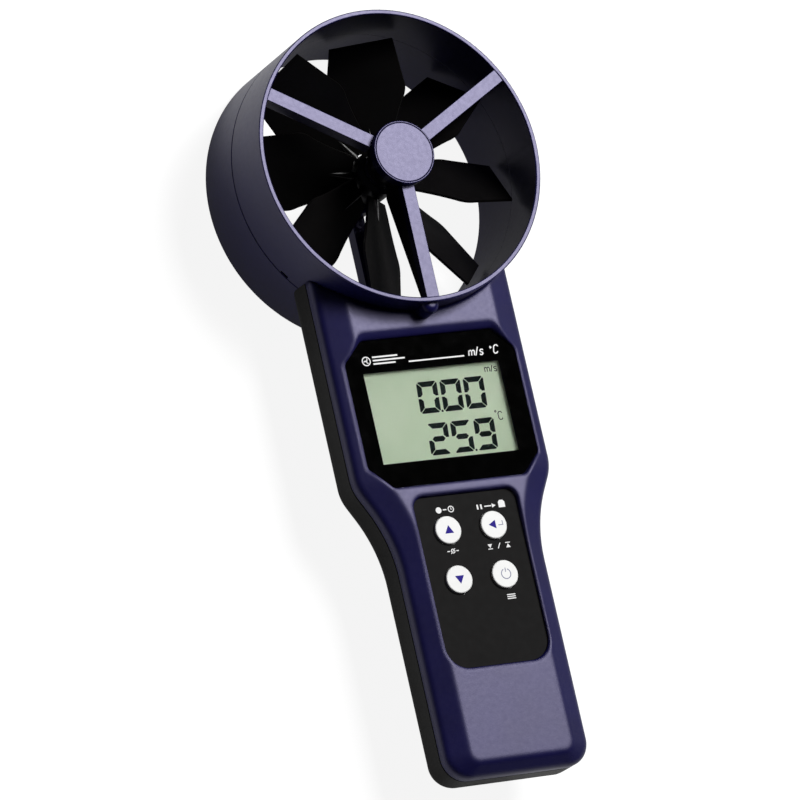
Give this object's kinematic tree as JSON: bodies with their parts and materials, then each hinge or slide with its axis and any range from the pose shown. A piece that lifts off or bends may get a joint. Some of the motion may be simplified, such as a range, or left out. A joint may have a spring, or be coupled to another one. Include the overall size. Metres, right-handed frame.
{
  "type": "vane anemometer",
  "caption": "Hand-held vane anemometer: free-running rotor in an open ring with spoked guards, on a slim case with a display window, round keys and a sliding battery door.",
  "frame": {"origin": "under the middle of the instrument as it lies on its back, in the plane of the vane ring's rear rim", "axes": "+Z out of the instrument's face, +Y up the handle towards the vane head, +X to the right when facing the display"},
  "size_m": [0.106, 0.2692, 0.0498],
  "materials": {
    "blue_plastic": "satin navy-blue moulded plastic with a fine texture",
    "black_case_plastic": "matt black moulded plastic",
    "black_vane_plastic": "matt black moulded plastic",
    "white_key_plastic": "satin white plastic",
    "black_keypad_film": "matt black overlay",
    "clear_window": "clear polished plastic",
    "black_mask": "black printed mask behind the window",
    "display_grey_green": "grey-green liquid-crystal display",
    "green_board": "green circuit board",
    "chip_black": "black component bodies",
    "connector_white": "natural white connector",
    "steel": "bright steel",
    "brass": "turned brass",
    "magnet": "dark sintered magnet",
    "battery_jacket": "plain dark steel jacket",
    "lead_black": "black insulated wire",
    "lead_red": "red insulated wire"
  },
  "bodies": {
    "case": {"front_shell": "blue_plastic", "back_shell": "black_case_plastic", "ring_front": "blue_plastic", "ring_rear": "blue_plastic", "front_hub_cap": "blue_plastic", "rear_hub_cap": "blue_plastic", "front_bearing": "brass", "rear_bearing": "brass", "sensor_arm": "black_vane_plastic", "thermistor": "chip_black", "pickup_board": "green_board", "pickup_sensor": "chip_black", "sensor_lead": "lead_black", "display_window": "clear_window", "window_mask": "black_mask", "lcd_glass": "display_grey_green", "lcd_frame": "black_vane_plastic", "contact_strips": "black_vane_plastic", "circuit_board": "green_board", "controller_chip": "chip_black", "board_components": "chip_black", "lead_connector": "connector_white", "keypad_panel": "black_keypad_film", "key_switches": "chip_black", "battery": "battery_jacket", "battery_studs": "steel", "battery_clip": "lead_black", "battery_lead_red": "lead_red", "battery_lead_black": "lead_black", "case_screws": "steel", "neck_screws": "steel", "board_screws": "steel"},
    "rotor": {"rotor_hub": "black_vane_plastic", "vane_blade_1": "black_vane_plastic", "vane_blade_2": "black_vane_plastic", "vane_blade_3": "black_vane_plastic", "vane_blade_4": "black_vane_plastic", "vane_blade_5": "black_vane_plastic", "vane_blade_6": "black_vane_plastic", "vane_blade_7": "black_vane_plastic", "vane_blade_8": "black_vane_plastic", "axle": "steel", "magnet_ring": "magnet"},
    "battery_cover": {"battery_door": "black_case_plastic"},
    "button_up_cap": {"button_up": "white_key_plastic"},
    "button_enter_cap": {"button_enter": "white_key_plastic"},
    "button_down_cap": {"button_down": "white_key_plastic"},
    "button_power_cap": {"button_power": "white_key_plastic"}
  },
  "joints": [
    {"name": "rotor_spin", "type": "hinge", "parent": "case", "child": "rotor", "pos_m": [0, 0.0816, 0.0239], "axis": [0, 0, 1], "continuous": true},
    {"name": "button_up_press", "type": "slide", "parent": "case", "child": "button_up_cap", "axis": [0, 0, -1], "range_m": [0, 0.0006], "stiffness_N_per_m": 1500},
    {"name": "button_enter_press", "type": "slide", "parent": "case", "child": "button_enter_cap", "axis": [0, 0, -1], "range_m": [0, 0.0006], "stiffness_N_per_m": 1500},
    {"name": "button_down_press", "type": "slide", "parent": "case", "child": "button_down_cap", "axis": [0, 0, -1], "range_m": [0, 0.0006], "stiffness_N_per_m": 1500},
    {"name": "button_power_press", "type": "slide", "parent": "case", "child": "button_power_cap", "axis": [0, 0, -1], "range_m": [0, 0.0006], "stiffness_N_per_m": 1500},
    {"name": "battery_door_slide", "type": "slide", "parent": "case", "child": "battery_cover", "axis": [0, -1, 0], "range_m": [0, 0.014]}
  ]
}
